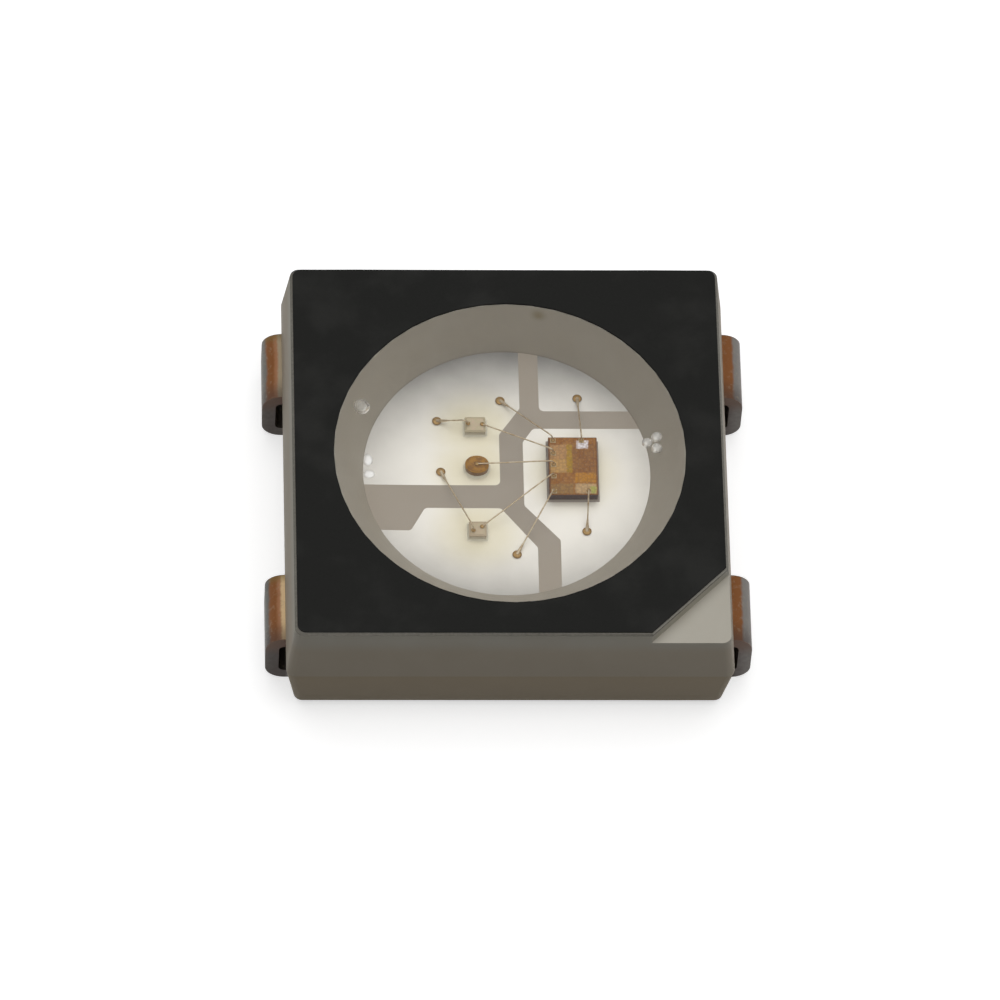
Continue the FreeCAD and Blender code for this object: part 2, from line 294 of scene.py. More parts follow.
class MetalSettings(bpy.types.PropertyGroup):
    """Silver-plated lead frame and gold."""

    silver: colour("Silver", "Plating on the pads", (0.805, 0.78, 0.725))
    # Painted shade: the pads darken away from a painted highlight near the cup's middle
    dull: colour("Dull", "Plating on the pads far from the cup's middle", (0.125, 0.122, 0.117))
    cream: colour("Cream", "Plating near the chips", (0.70, 0.65, 0.49))
    straw: colour("Straw", "Tarnish next to the wall, on the leads at the front", (0.66, 0.48, 0.265))
    dim_straw: colour("Dim straw", "The same tarnish on the leads at the back", (0.37, 0.30, 0.20))
    orange: colour("Orange", "Metal that starts to show along the outer folds", (0.34, 0.155, 0.070))
    copper: colour("Copper", "Bare metal along the outer folds", (0.209, 0.071, 0.012))
    ochre: colour("Ochre", "Tarnish at the rear end of the folds", (0.17, 0.12, 0.03))
    grey: colour("Grey", "Dull outer face of the rear left lead", (0.143, 0.134, 0.115))
    dark_grey: colour("Dark grey", "Outer face of the front left lead", (0.100, 0.096, 0.084))
    pale_grey: colour("Pale grey", "Outer face of the right leads, and the feet", (0.195, 0.180, 0.165))
    cut: colour("Cut", "Raw sheared edges of the leads", (0.045, 0.029, 0.024))
    umber: colour("Umber", "Upper part of the sheared edges", (0.120, 0.062, 0.036))
    gold: colour("Gold", "Bond wires", (0.95, 0.88, 0.70))
    bond: colour("Bond", "Wire ends on the pads", (0.37, 0.20, 0.05))
    worn_bond: colour("Worn bond", "Paler parts of the wire ends", (0.46, 0.31, 0.13))
    cream_core: length("Core of the cream", "Where the warm tint starts to fade", 0.18)
    cream_reach: length("Reach of the cream", "How far the warm tint spreads from a chip", 0.68)
    # Where the pads' painted highlight sits and how wide it is, and where the painted shade round it starts
    # and ends
    painted_shade_start: length("Start of the dull plating", "Distance from the brightest place", 0.585)
    painted_shade_end: length("End of the dull plating", "Distance from the brightest place", 2.13)
    highlight_right: length("Bright place to the right", "From the cup's middle", 0.08)
    highlight_front: length("Bright place to the front", "From the cup's middle", 0.16)
    highlight_width: level("Width of the bright place", "Its depth against its width", 0.70)
    right_wear: length("Wear at the right", "How much nearer to the wall all bands are there", 0.09)
    left_wear: length("Wear at the left", "How much nearer to the wall the grey is there", 0.03)


class ChipSettings(bpy.types.PropertyGroup):
    """Driver chip and light chips."""

    rose: colour("Rose", "Rear left block of the driver chip", (0.48, 0.26, 0.10))
    tan: colour("Tan", "Left block of the driver chip", (0.54, 0.31, 0.10))
    olive: colour("Olive", "Middle column of the driver chip", (0.42, 0.24, 0.012))
    russet: colour("Russet", "Right block of the driver chip", (0.27, 0.105, 0.020))
    brown: colour("Brown", "Lower left block of the driver chip", (0.32, 0.12, 0.015))
    umber: colour("Umber", "Front left block of the driver chip", (0.30, 0.16, 0.045))
    orange: colour("Orange", "Lower right strip of the driver chip", (0.48, 0.20, 0.008))
    pale: colour("Pale", "Front right block of the driver chip", (0.54, 0.36, 0.18))
    moss: colour("Moss", "Spot in the front right corner", (0.44, 0.45, 0.10))
    # Pale metal near the rear right corner, also a painted highlight
    bright: colour("Bright", "Bare metal near the rear right corner", (0.70, 0.66, 0.68))
    flank: colour("Flank", "Sawn sides of the driver chip", (0.043, 0.027, 0.037))
    amber: colour("Amber", "Red chip", (0.39, 0.185, 0.018))
    rust: colour("Rust", "Sides of the red chip", (0.24, 0.110, 0.020))
    sage: colour("Sage", "Green chip", (0.55, 0.47, 0.31))
    blush: colour("Blush", "Paler parts of the green chip", (0.60, 0.46, 0.34))
    sand: colour("Sand", "Blue chip", (0.56, 0.45, 0.31))
    clear: colour("Clear", "Sides of the green and blue chips", (0.66, 0.60, 0.49))
    bond_pad: colour("Bond pad", "Metal under a wire's ball", (0.62, 0.47, 0.26))
    glue: colour("Glue", "Glue round the light chips", (0.86, 0.82, 0.68))
    # Dark glue round the driver chip, which also paints the shadow at the chip's foot
    dark_glue: colour("Dark glue", "Glue round the driver chip", (0.36, 0.31, 0.27))
    bevel: length("Bevel", "Worn upper edge of a chip", 0.004)
    ledge: length("Ledge", "Width of the ledge round a chip's top", 0.016)
    step: length("Step", "Height of the raised middle of a chip's top", 0.005)
    pad_half: length("Bond pad size", "Half the side of a bond pad", 0.030)
    glue_spread: length("Glue spread", "How far the glue runs out from a chip", 0.022)
    glue_rise: share("Glue rise", "How high the glue climbs a chip, against its spread", 0.5)


class WireSettings(bpy.types.PropertyGroup):
    """Bond wires."""

    radius: length("Wire radius", "Half the wire's thickness", 0.0085)
    bend: length("Bend", "Radius of the turn above the first bond", 0.05)
    neck: length("Neck", "First bond to the top of the loop", 0.13)
    chip_end: length("End on a chip", "Half the width of the frame's wire end on a chip", 0.038)
    pad_end: length("End on a pad", "Half the width of the frame's wire end on a pad", 0.048)
    ball: length("Ball radius", "Half the width of the ball on a chip", 0.025)
    ball_height: length("Ball height", "Height of the ball on a chip", 0.022)
    tack: length("Tack radius", "Half the width of the pressed end on a pad", 0.053)
    tack_height: length("Tack height", "Height of the pressed end on a pad", 0.034)
    tail: length("Tail", "Length over which the wire spreads into its pressed end", 0.17)
    spread: level("Spread", "Width of the wire where it meets its pressed end, against its own", 2.8)
    sides: IntProperty(name="Sides", description="Sides of a wire's section", default=16, min=3)


class ResinSettings(bpy.types.PropertyGroup):
    """Clear filling of the cup."""

    tint: colour("Tint", "Colour of the resin", (1.0, 0.995, 0.98))
    refraction: level("Refraction", "Index of the resin", 1.42)
    sag: length("Sag", "Middle of the surface below the rim", 0.05)
    overlap: length("Overlap", "How far the resin is sunk into the plastic", 0.006)
    turns: IntProperty(name="Turns", description="Steps round the cup", default=192, min=8)


SETTINGS = {
    "led_stage": StageSettings,
    "led_plastic": PlasticSettings,
    "led_ink": InkSettings,
    "led_metal": MetalSettings,
    "led_chip": ChipSettings,
    "led_wire": WireSettings,
    "led_resin": ResinSettings,
}


class Signal:
    """An output of a node, on which Python's operators add Math nodes."""

    def __init__(self, graph, socket):
        self.graph = graph
        self.socket = socket

    def math(self, operation, *others):
        """A Math node on this signal and the others."""
        inputs = dict(enumerate((self, *others)))
        return self.graph.node("ShaderNodeMath", {"operation": operation}, inputs)[0]

    def __add__(self, other):
        return self.math("ADD", other)

    def __sub__(self, other):
        return self.math("SUBTRACT", other)

    def __mul__(self, other):
        return self.math("MULTIPLY", other)

    def __rsub__(self, other):
        return self.graph.node("ShaderNodeMath", {"operation": "SUBTRACT"}, {0: other, 1: self})[0]

    __radd__ = __add__
    __rmul__ = __mul__

    def __abs__(self):
        return self.math("ABSOLUTE")

    def step(self, low, high, most=1):
        """0 below low, most above high, smooth between them. The other way round where low is above high."""
        rising = low < high
        ends = (low, high) if rising else (high, low)
        settings = {"interpolation_type": "SMOOTHSTEP"}
        smooth = self.graph.node("ShaderNodeMapRange", settings, {0: self, 1: ends[0], 2: ends[1]})[0]
        smooth = smooth if rising else 1 - smooth
        return smooth if most == 1 else smooth * most

    def ramp(self, low, high):
        """A number from low, where the signal is 0, to high, where it is 1."""
        return self * (high - low) + low

    def swing(self, reach):
        """A noise turned into an offset about 0, since the middle of a noise is 0.5."""
        return (self - 0.5) * reach


class Graph:
    """The nodes of one material, world or Geometry Nodes tree."""

    def __init__(self, tree):
        self.tree = tree
        tree.nodes.clear()

    def node(self, kind, settings=None, inputs=None):
        """A node with its settings made first, then its sockets, and its outputs as signals."""
        made = self.tree.nodes.new(kind)
        for name, value in (settings or {}).items():
            setattr(made, name, value)
        for key, value in (inputs or {}).items():
            socket = made.inputs[key]
            if isinstance(value, Signal):
                self.tree.links.new(value.socket, socket)
            elif hasattr(socket.default_value, "__len__") and len(value) < len(socket.default_value):
                socket.default_value = (*value, 1.0)
            else:
                socket.default_value = value
        return [Signal(self, socket) for socket in made.outputs]

    def first(self, kind, settings=None, **inputs):
        """The first output of a node whose sockets are given by name, with _ for each space."""
        sockets = {name.replace("_", " "): value for name, value in inputs.items()}
        return self.node(kind, settings, sockets)[0]

    def place(self):
        """The point being shaded: (vector, x, y, z), in metres in the part's frame."""
        vector = self.node("ShaderNodeTexCoord")[3]
        return (vector, *self.node("ShaderNodeSeparateXYZ", None, {0: vector})[:3])

    def noise(self, vector, size, detail):
        """A cloudy signal about 0.5, with features of the given size in metres."""
        return self.first("ShaderNodeTexNoise", Vector=vector, Scale=1 / size, Detail=detail)

    def stretched(self, vector, scale):
        """The vector scaled by its own factor along each axis."""
        return self.node("ShaderNodeVectorMath", {"operation": "MULTIPLY"}, {0: vector, 1: scale})[0]

    def distance(self, vector, point):
        """How far the vector's end is from a point."""
        return self.node("ShaderNodeVectorMath", {"operation": "DISTANCE"}, {0: vector, 1: point})[1]

    def mix(self, factor, first, second):
        """A colour between two colours."""
        return self.node("ShaderNodeMix", {"data_type": "RGBA"}, {0: factor, 6: first, 7: second})[2]

    def bump(self, height, depth):
        """A normal from a height signal that spans the given depth in metres."""
        return self.first("ShaderNodeBump", Strength=1.0, Distance=depth, Height=height)

    def surface(self, **inputs):
        """A Principled shader."""
        return self.first("ShaderNodeBsdfPrincipled", **inputs)

    def camera_sees(self):
        """1 where the camera looks straight, in a reflection or through resin, and 0 for other light."""
        path = self.node("ShaderNodeLightPath")
        return path[0].math("MAXIMUM", path[3]).math("MAXIMUM", path[6])

    def finish(self, shader, kind="ShaderNodeOutputMaterial"):
        """Ends the tree in the shader."""
        self.node(kind, None, {"Surface": shader})


def material(name):
    """A new material and its graph."""
    made = bpy.data.materials.new(name)
    made.use_nodes = True
    return made, Graph(made.node_tree)


def darker(tone, part):
    """A colour with a part of its light."""
    return [channel * part for channel in tone]


def within(x, low, high, blur):
    """1 between low and high, falling to 0 over the distance blur at each end."""
    return x.step(low - blur, low + blur) * x.step(high + blur, high - blur)


def rectangle(x, y, low, high, blur):
    """1 between two corners in plan, falling to 0 over the distance blur at each side."""
    return within(x, low[0], high[0], blur) * within(y, low[1], high[1], blur)


def distance_to(x, y, point):
    """How far the shaded point is from a point, in plan."""
    across, along = x - point[0], y - point[1]
    return (across * across + along * along).math("SQRT")


def chip_top(z, node, depths):
    """0 on a chip's sides and 1 on its top, changing between two depths."""
    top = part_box(node)[1].z
    return z.step(top - depths[0], top - depths[1])


def middle(node):
    """The middle of a node's box."""
    low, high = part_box(node)
    return (low + high) / 2


def white_plastic(p, ink):
    """Moulded plastic, warmer inside the cup, darker and warmer down its walls and below the parting line in
    part as painted shade, ink over its top edge.
    """
    made, g = material("white_plastic")
    vector, x, y, z = g.place()
    cloud = g.noise(vector, size=0.5 * MM, detail=4)
    fleck = g.noise(vector, size=0.03 * MM, detail=2)
    beyond = distance_to(x, y, RIM_SHIFT) - (RIM_RADIUS + RIM_GROWTH)
    inside = beyond.step(*WITHIN_RIM) * z.step(*UP_TO_CUP)
    outer = g.mix(z.step(*LOW_WALL), p.white, p.wall)
    outer = g.mix(z.step(*PARTING), outer, p.base)
    inner = g.mix(z.step(*SLOTS), p.cup, p.slots)
    shade = g.mix(inside, outer, inner)
    shade = g.mix(cloud.swing(p.mottle * 4) + p.mottle, shade, darker(p.base, 0.78))
    stained = g.distance(vector, STAIN).step(STAIN_REACH, 0) * cloud.ramp(0.25, 1.25)
    shade = g.mix(stained, shade, p.stain)
    edge = fleck.swing(0.012 * MM) + (PLASTIC_TOP - ink.spread)
    inked = (z - edge).step(*INK_EDGE) * beyond.step(*BEYOND_RIM)
    cover = y.step(*REAR_EDGE).ramp(ink.cover, 1) + fleck.swing(0.3)
    g.finish(g.surface(
        Base_Color=g.mix(inked * cover, shade, ink.black),
        Roughness=fleck.ramp(0.50, 0.66),
        Normal=g.bump(fleck * 0.6 + cloud * 0.4, p.grain),
        Specular_IOR_Level=0.30,
    ))
    return made


def black_ink(p):
    """Matt print with the fine unevenness of a printed layer."""
    made, g = material("black_ink")
    vector, *_ = g.place()
    cloud = g.noise(vector, size=0.6 * MM, detail=3)
    grain = g.noise(vector, size=0.025 * MM, detail=2)
    g.finish(g.surface(
        Base_Color=g.mix(cloud.step(0.45, 0.75), p.black, p.worn),
        Roughness=grain.ramp(0.56, 0.76),
        Normal=g.bump(grain, p.grain),
        Specular_IOR_Level=0.14,
    ))
    return made


def pad_tone(g, p, place, cloud):
    """Plating inside the walls: cream near the chips, painted highlight and painted shade, grey on the feet.
    """
    x, y, z = place
    warm = 0
    for chip in DIES:
        warm = distance_to(x, y, middle(chip)).step(p.cream_reach, p.cream_core).math("MAXIMUM", warm)
    tone = g.mix(warm * cloud.ramp(0.65, 1.15), p.silver, p.cream)
    # A painted highlight off the cup's middle, fading into painted shade towards the walls
    across = (x - p.highlight_right) * p.highlight_width
    out = distance_to(across, y, (0, -p.highlight_front)) + cloud.swing(0.20 * MM)
    tone = g.mix(out.step(p.painted_shade_start, p.painted_shade_end), tone, p.dull)
    return g.mix(z.step(*FOOT), tone, p.pale_grey)


def lead_tone(g, p, place, cloud, speck):
    """A lead outside the walls: tarnish and bare metal over its fold, and raw sheared edges."""
    x, y, z = place
    right = x.step(-MM, MM)
    left = 1 - right
    rear = y.step(-MM, MM)
    along = y - rear.ramp(-LEAD_MIDDLE, LEAD_MIDDLE)
    fold = abs(x) - BODY_HALF + right * p.right_wear + cloud.swing(0.05 * MM) + speck.swing(0.03 * MM)
    outer = g.mix(right, g.mix(rear, p.dark_grey, p.grey), p.pale_grey)
    tone = g.mix(rear, p.straw, p.dim_straw)
    tone = g.mix(fold.step(*ORANGE_BAND), tone, p.orange)
    tone = g.mix(fold.step(*COPPER_BAND), tone, p.copper)
    tone = g.mix(along.step(*OCHRE_END) * left, tone, p.ochre)
    tone = g.mix((fold + left * p.left_wear).step(*OUTER_BAND), tone, outer)
    tone = g.mix(z.step(*OUTER_FACE), tone, outer)
    tone = g.mix(along.step(*DARK_END), tone, p.cut)
    tone = g.mix(speck.step(0.52, 0.75, most=0.25), tone, p.dim_straw)
    sheared = g.mix(speck * 0.5 + fold.step(*SHEARED_BAND), p.cut, outer)
    sheared = g.mix(z.step(*UMBER_EDGE), sheared, p.umber)
    return g.mix(abs(along).step(*CUT_SIDE), tone, sheared)


def silver_plating(p):
    """Bright plating on the pads, with tarnish, bare copper and raw edges on the leads outside."""
    made, g = material("silver_plating")
    vector, *place = g.place()
    cloud = g.noise(vector, size=0.35 * MM, detail=3)
    speck = g.noise(vector, size=0.05 * MM, detail=3)
    rolled = g.noise(g.stretched(vector, (0.15, 1, 1)), size=0.02 * MM, detail=2)
    outside = abs(place[0]).step(BODY_HALF - 0.05 * MM, BODY_HALF)
    g.finish(g.surface(
        Base_Color=g.mix(outside, pad_tone(g, p, place, cloud), lead_tone(g, p, place, cloud, speck)),
        Metallic=outside.ramp(0.45, 0.50),
        Roughness=cloud.ramp(0.36, 0.48) + outside * 0.10,
        Normal=g.bump(rolled, depth=0.0005 * MM),
    ))
    return made


def grained(name, size, tones, roughness, depth, most=1, **inputs):
    """A finish whose colour, roughness and surface all follow one fine noise."""
    made, g = material(name)
    vector, *_ = g.place()
    grain = g.noise(vector, size, detail=2)
    g.finish(g.surface(
        Base_Color=g.mix(grain * most, *tones),
        Roughness=grain.ramp(*roughness),
        Normal=g.bump(grain, depth),
        **inputs,
    ))
    return made


def bead_plating(p):
    """Smooth white finish of a bead, so that it reads as a painted highlight."""
    tones = ((1, 1, 1), p.silver)
    return grained("bead_plating", 0.04 * MM, tones, (0.30, 0.40), 0.002 * MM, most=0.3, Metallic=0.5)


def chip_glue(name, tone):
    """Glue squeezed out round a chip, slightly uneven."""
    return grained(name, 0.02 * MM, (tone, darker(tone, 0.85)), (0.45, 0.65), 0.0008 * MM)


def drawn_gold(name, tone, shade):
    """Drawn wire, with the slight waviness of its surface."""
    return grained(name, 0.05 * MM, (tone, shade), (0.28, 0.42), 0.001 * MM, Metallic=0.65)


def driver_silicon(p):
    """Driver chip: blocks of circuit in golds and browns on top, and dark sawn sides."""
    made, g = material("driver_silicon")
    vector, x, y, z = g.place()
    low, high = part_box("driver_chip")
    size = high - low
    ragged = g.noise(vector, size=0.05 * MM, detail=3).swing(0.035 * MM)

    def block(left, right, front, rear):
        """1 inside a rectangle with ragged sides, given as shares of the chip's face."""
        near = (low.x + size.x * left, low.y + size.y * front)
        far = (low.x + size.x * right, low.y + size.y * rear)
        return rectangle(x + ragged, y + ragged, near, far, BLOCK_BLUR)

    shade = p.brown
    for name, sides in BLOCKS.items():
        shade = g.mix(block(*sides), shade, getattr(p, name))
    cell = g.node(
        "ShaderNodeTexVoronoi",
        {"distance": "CHEBYCHEV"},
        {"Vector": vector, "Scale": 1 / CELL_SIZE, "Randomness": 0.7},
    )
    tone = g.node("ShaderNodeSeparateXYZ", None, {0: cell[1]})[0]
    lines = cell[0].step(0.30, 0.45)
    shade = g.mix(tone * CELL_TINT, shade, p.tan)
    shade = g.mix(lines * CELL_TINT, shade, p.flank)
    # Pale bare metal near the rear right corner, partly a painted highlight
    bare_glint = block(*BARE_GLINT_BLOCK) * lines.ramp(1, 0.6)
    shade = g.mix(bare_glint, shade, p.bright)
    on_pad = z.step(high.z + PAD_RISE * 0.25, high.z + PAD_RISE * 0.75)
    shade = g.mix(on_pad, shade, p.bond_pad)
    ledge = Vector((p.ledge, p.ledge))
    inner = rectangle(x, y, low.xy + ledge, high.xy - ledge, p.step)
    shade = g.mix(inner.ramp(0.35, 0), shade, p.flank)
    top = chip_top(z, "driver_chip", DRIVER_TOP)
    saw = g.noise(g.stretched(vector, (1, 1, 0.1)), size=0.012 * MM, detail=2)
    shade = g.mix(top, g.mix(saw * 0.3, p.flank, p.russet), shade)
    g.finish(g.surface(
        Base_Color=shade,
        Metallic=bare_glint * 0.5,
        Roughness=top.ramp(0.42, 0.30),
        Normal=g.bump(lines * top + saw * (1 - top), depth=0.0010 * MM),
        Specular_IOR_Level=0.10,
    ))
    return made


def light_crystal(name, node, body, pale, side):
    """A light chip: hazy on top, with a darker scribed edge and its own colour at the sides."""
    made, g = material(name)
    vector, x, y, z = g.place()
    centre, half, _ = die_plan(node)
    mesa = half * MESA_SHARE
    raised = rectangle(x, y, centre.xy - mesa, centre.xy + mesa, MESA_BLUR)
    haze = g.noise(vector, size=0.05 * MM, detail=2)
    shade = g.mix(raised, darker(body, 0.86), g.mix(haze.step(0.35, 0.65), body, pale))
    shade = g.mix(chip_top(z, node, CRYSTAL_TOP), side, shade)
    g.finish(g.surface(
        Base_Color=shade,
        Roughness=haze.ramp(0.26, 0.38),
        Normal=g.bump(haze, depth=0.0006 * MM),
        Specular_IOR_Level=0.15,
    ))
    return made


def clear_resin(name, p, clear, roughness, ripple_size):
    """Clear resin that lets soft light and shadow rays straight through to what it covers."""
    made, g = material(name)
    vector, *_ = g.place()
    glass = g.surface(
        Base_Color=p.tint,
        Roughness=roughness,
        IOR=p.refraction,
        Transmission_Weight=clear,
        Normal=g.bump(g.noise(vector, ripple_size, detail=1), RIPPLE_DEPTH),
    )
    path = g.node("ShaderNodeLightPath")
    passed = path[1].math("MAXIMUM", path[2])
    open_way = g.first("ShaderNodeBsdfTransparent", Color=p.tint)
    g.finish(g.node("ShaderNodeMixShader", None, {0: passed, 1: glass, 2: open_way})[0])
    return made


def dress(node, made):
    """Gives a CAD node a material in place of its plain one."""
    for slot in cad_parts[node].material_slots:
        slot.material = made


def new_piece(name, mesh, finishes, replaced=()):
    """A mesh as a piece of the part, standing for the nodes that it replaces."""
    for finish in finishes:
        mesh.materials.append(finish)
    piece = bpy.data.objects.new(name, mesh)
    bpy.context.scene.collection.objects.link(piece)
    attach(piece, BODY)
    if replaced:
        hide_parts(*replaced)


def lathe(shape, profile, turns):
    """Adds a closed solid of revolution about Z, from (radius, height) points that start and end at 0."""
    rings = []
    for radius, height in profile:
        if radius == 0:
            rings.append([shape.verts.new((0, 0, height))] * turns)
            continue
        steps = [2 * math.pi * i / turns for i in range(turns)]
        rings.append([shape.verts.new((radius * math.cos(a), radius * math.sin(a), height)) for a in steps])
    for lower, upper in zip(rings, rings[1:]):
        for i in range(turns):
            j = (i + 1) % turns
            corners = [lower[i], lower[j], upper[j], upper[i]]
            shape.faces.new(list(dict.fromkeys(corners)))
    bmesh.ops.recalc_face_normals(shape, faces=shape.faces)


def ring(shape, centre, half, roundness, height):
    """A level ring of points round a rectangle whose corners are rounded by a share of its half sizes."""
    points = []
    for quarter, (right, rear) in enumerate(((1, 1), (-1, 1), (-1, -1), (1, -1))):
        for i in range(CORNER_STEPS + 1):
            turn = math.pi / 2 * (quarter + i / CORNER_STEPS)
            x = half[0] * (right * (1 - roundness) + roundness * math.cos(turn))
            y = half[1] * (rear * (1 - roundness) + roundness * math.sin(turn))
            points.append(shape.verts.new((centre[0] + x, centre[1] + y, height)))
    return points


def stack(shape, centre, layers, roundness):
    """Adds a closed solid with flat ends through (half sizes, height) layers, the lowest first."""
    rings = [ring(shape, centre, half, roundness, height) for half, height in layers]
    for lower, upper in zip(rings, rings[1:]):
        for i in range(len(lower)):
            j = (i + 1) % len(lower)
            shape.faces.new((lower[i], lower[j], upper[j], upper[i]))
    shape.faces.new(list(reversed(rings[0])))
    shape.faces.new(rings[-1])


def die_plan(node):
    """Middle, half sizes and roundness of a chip in plan."""
    _, part, roundness = DIES[node]
    low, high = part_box(node)
    half = Vector(((high.x - low.x) / 2 * part[0], (high.y - low.y) / 2 * part[1]))
    return (low + high) / 2, half, roundness


def narrower(half, by):
    """Half sizes with the same length taken off both."""
    return Vector((half.x - by, half.y - by))


def die_shape(node, p, bonds):
    """A chip with sawn sides, a ledge round its top, and raised pads where its wires start."""
    centre, half, roundness = die_plan(node)
    low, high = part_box(node)
    ledge = high.z - p.step
    shape = bmesh.new()
    layers = [
        (half, low.z),
        (half, ledge - p.bevel),
        (narrower(half, p.bevel), ledge),
        (narrower(half, p.ledge), ledge),
        (narrower(half, p.ledge + p.bevel), high.z),
    ]
    stack(shape, centre, layers, roundness)
    for bond in bonds:
        square = Vector((p.pad_half, p.pad_half))
        stack(shape, bond, [(square, ledge), (square, high.z + PAD_RISE)], PAD_ROUNDNESS)
    return shape


def glue_shape(nodes, p):
    """Hollow-sided fillets of glue round the feet of chips."""
    shape = bmesh.new()
    for node in nodes:
        centre, half, roundness = die_plan(node)
        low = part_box(node)[0].z
        layers = []
        for i in range(FILLET_STEPS + 1):
            rise = i / FILLET_STEPS
            height = PAD_LEVEL + (low + p.glue_rise * p.glue_spread - PAD_LEVEL) * rise
            layers.append((narrower(half, -p.glue_spread * (1 - rise) ** 2), height))
        stack(shape, centre, layers, roundness)
    return shape


def bubble(shape, centre, radius, skin):
    """Adds a round hollow inside a solid, with its faces towards its middle and the skin's material."""
    ball = bmesh.ops.create_icosphere(
        shape, subdivisions=4, radius=radius, matrix=Matrix.Translation(Vector(centre))
    )
    faces = {face for vert in ball["verts"] for face in vert.link_faces}
    for face in faces:
        face.material_index = skin
    bmesh.ops.reverse_faces(shape, faces=list(faces))


def smooth_mesh(shape, name):
    """A smooth mesh of the shape, with its sharp edges kept. The shape is freed."""
    for face in shape.faces:
        face.smooth = True
    mesh = bpy.data.meshes.new(name)
    shape.to_mesh(mesh)
    shape.free()
    mesh.set_sharp_from_angle(angle=SHARP)
    return mesh


def on_circle(vert, radius, height):
    """Whether a point is on a level circle about Z."""
    return abs(vert.co.xy.length - radius) < ON_CIRCLE and abs(vert.co.z - height) < ON_CIRCLE


def finer_copy(node, name, circles):
    """A copy of a CAD node with its triangles joined, and its circles about Z cut finer.

    Each circle is its radius, its height, and how much it grows and shifts.
    """
    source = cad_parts[node].data.copy()
    source.attributes.remove(source.attributes["custom_normal"])
    shape = bmesh.new()
    shape.from_mesh(source)
    bpy.data.meshes.remove(source)
    bmesh.ops.remove_doubles(shape, verts=shape.verts, dist=WELD)
    for radius, height, growth, shift in circles:
        steps = []
        for edge in shape.edges:
            round_edge = all(on_circle(vert, radius, height) for vert in edge.verts)
            if round_edge and edge.calc_length() < radius * LONGEST_STEP:
                steps.append(edge)
        cut = bmesh.ops.subdivide_edges(shape, edges=steps, cuts=CUTS)
        added = {part for part in cut["geom_inner"] if isinstance(part, bmesh.types.BMVert)}
        for vert in shape.verts:
            if vert in added or on_circle(vert, radius, height):
                vert.co.x, vert.co.y = vert.co.xy.normalized() * (radius + growth) + shift
    for edge in shape.edges:
        edge.smooth = True
    return smooth_mesh(shape, name)


def wire_ends(node, toward, p, far_radius):
    """First bond and far end of a wire, worked out from its CAD box and the way it runs."""
    low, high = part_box(node)
    near, far = [], []
    for axis in (0, 1):
        outer = (low[axis], high[axis])
        if toward[axis] < 0:
            near.append(outer[1] - p.chip_end)
            far.append(outer[0] + far_radius)
        else:
            near.append(outer[0] + p.chip_end)
            far.append(outer[1] - far_radius)
    return Vector(near), Vector(far), high.z - p.neck, low.z


def wire_tree(wire, bond):
    """Geometry Nodes that sweep each wire along its line and set a squashed ball on each of its ends."""
    tree = bpy.data.node_groups.new("bond_wires", "GeometryNodeTree")
    sockets = (
        ("Geometry", "OUTPUT", "NodeSocketGeometry"),
        ("Lines", "INPUT", "NodeSocketGeometry"),
        ("Wire radius", "INPUT", "NodeSocketFloat"),
        ("Bend radius", "INPUT", "NodeSocketFloat"),
        ("Sides", "INPUT", "NodeSocketInt"),
    )
    for name, way, kind in sockets:
        tree.interface.new_socket(name, in_out=way, socket_type=kind)
    g = Graph(tree)
    lines, radius, bend, sides, *_ = g.node("NodeGroupInput")
    width = g.first("GeometryNodeInputNamedAttribute", {"data_type": "FLOAT"}, Name="wire_width")
    size = g.first("GeometryNodeInputNamedAttribute", {"data_type": "FLOAT_VECTOR"}, Name="bond_size")
    bent = g.first(
        "GeometryNodeFilletCurve",
        {"mode": "POLY"},
        Curve=g.first("GeometryNodeMeshToCurve", Mesh=lines),
        Count=BEND_STEPS,
        Radius=bend,
        Limit_Radius=True,
    )
    section = g.first("GeometryNodeCurvePrimitiveCircle", Resolution=sides, Radius=radius)
    swept = g.first("GeometryNodeCurveToMesh", Curve=bent, Profile_Curve=section, Scale=width, Fill_Caps=True)
    welded = g.first("GeometryNodeMergeByDistance", Geometry=swept, Distance=WELD)
    strands = g.first("GeometryNodeSetMaterial", Geometry=welded, Material=wire)
    ball = g.first("GeometryNodeMeshUVSphere", Segments=BALL_SEGMENTS, Rings=BALL_RINGS, Radius=1.0)
    extent = g.node("ShaderNodeVectorMath", {"operation": "LENGTH"}, {0: size})[1]
    bonded = g.node("FunctionNodeCompare", {"operation": "GREATER_THAN"}, {0: extent, 1: 0.0})[0]
    balls = g.first("GeometryNodeInstanceOnPoints", Points=lines, Selection=bonded, Instance=ball, Scale=size)
    bonds = g.first("GeometryNodeSetMaterial", Geometry=balls, Material=bond)
    joined = g.first("GeometryNodeJoinGeometry")
    for part in (bonds, strands):
        tree.links.new(part.socket, joined.socket.node.inputs[0])
    whole = g.first("GeometryNodeRealizeInstances", Geometry=joined)
    smooth = g.first("GeometryNodeSetShadeSmooth", Geometry=whole)
    g.node("NodeGroupOutput", None, {"Geometry": smooth})
    return tree


def evaluated_mesh(carrier, tree, values, name):
    """What a Geometry Nodes tree makes of an object, as a plain mesh. The carrier is removed."""
    modifier = carrier.modifiers.new(name, "NODES")
    modifier.node_group = tree
    for item in tree.interface.items_tree:
        if item.in_out == "INPUT" and item.name in values:
            modifier[item.identifier] = values[item.name]
    depsgraph = bpy.context.evaluated_depsgraph_get()
    mesh = bpy.data.meshes.new_from_object(carrier.evaluated_get(depsgraph), depsgraph=depsgraph)
    mesh.name = name
    carrier.modifiers.remove(modifier)
    bpy.data.objects.remove(carrier)
    return mesh


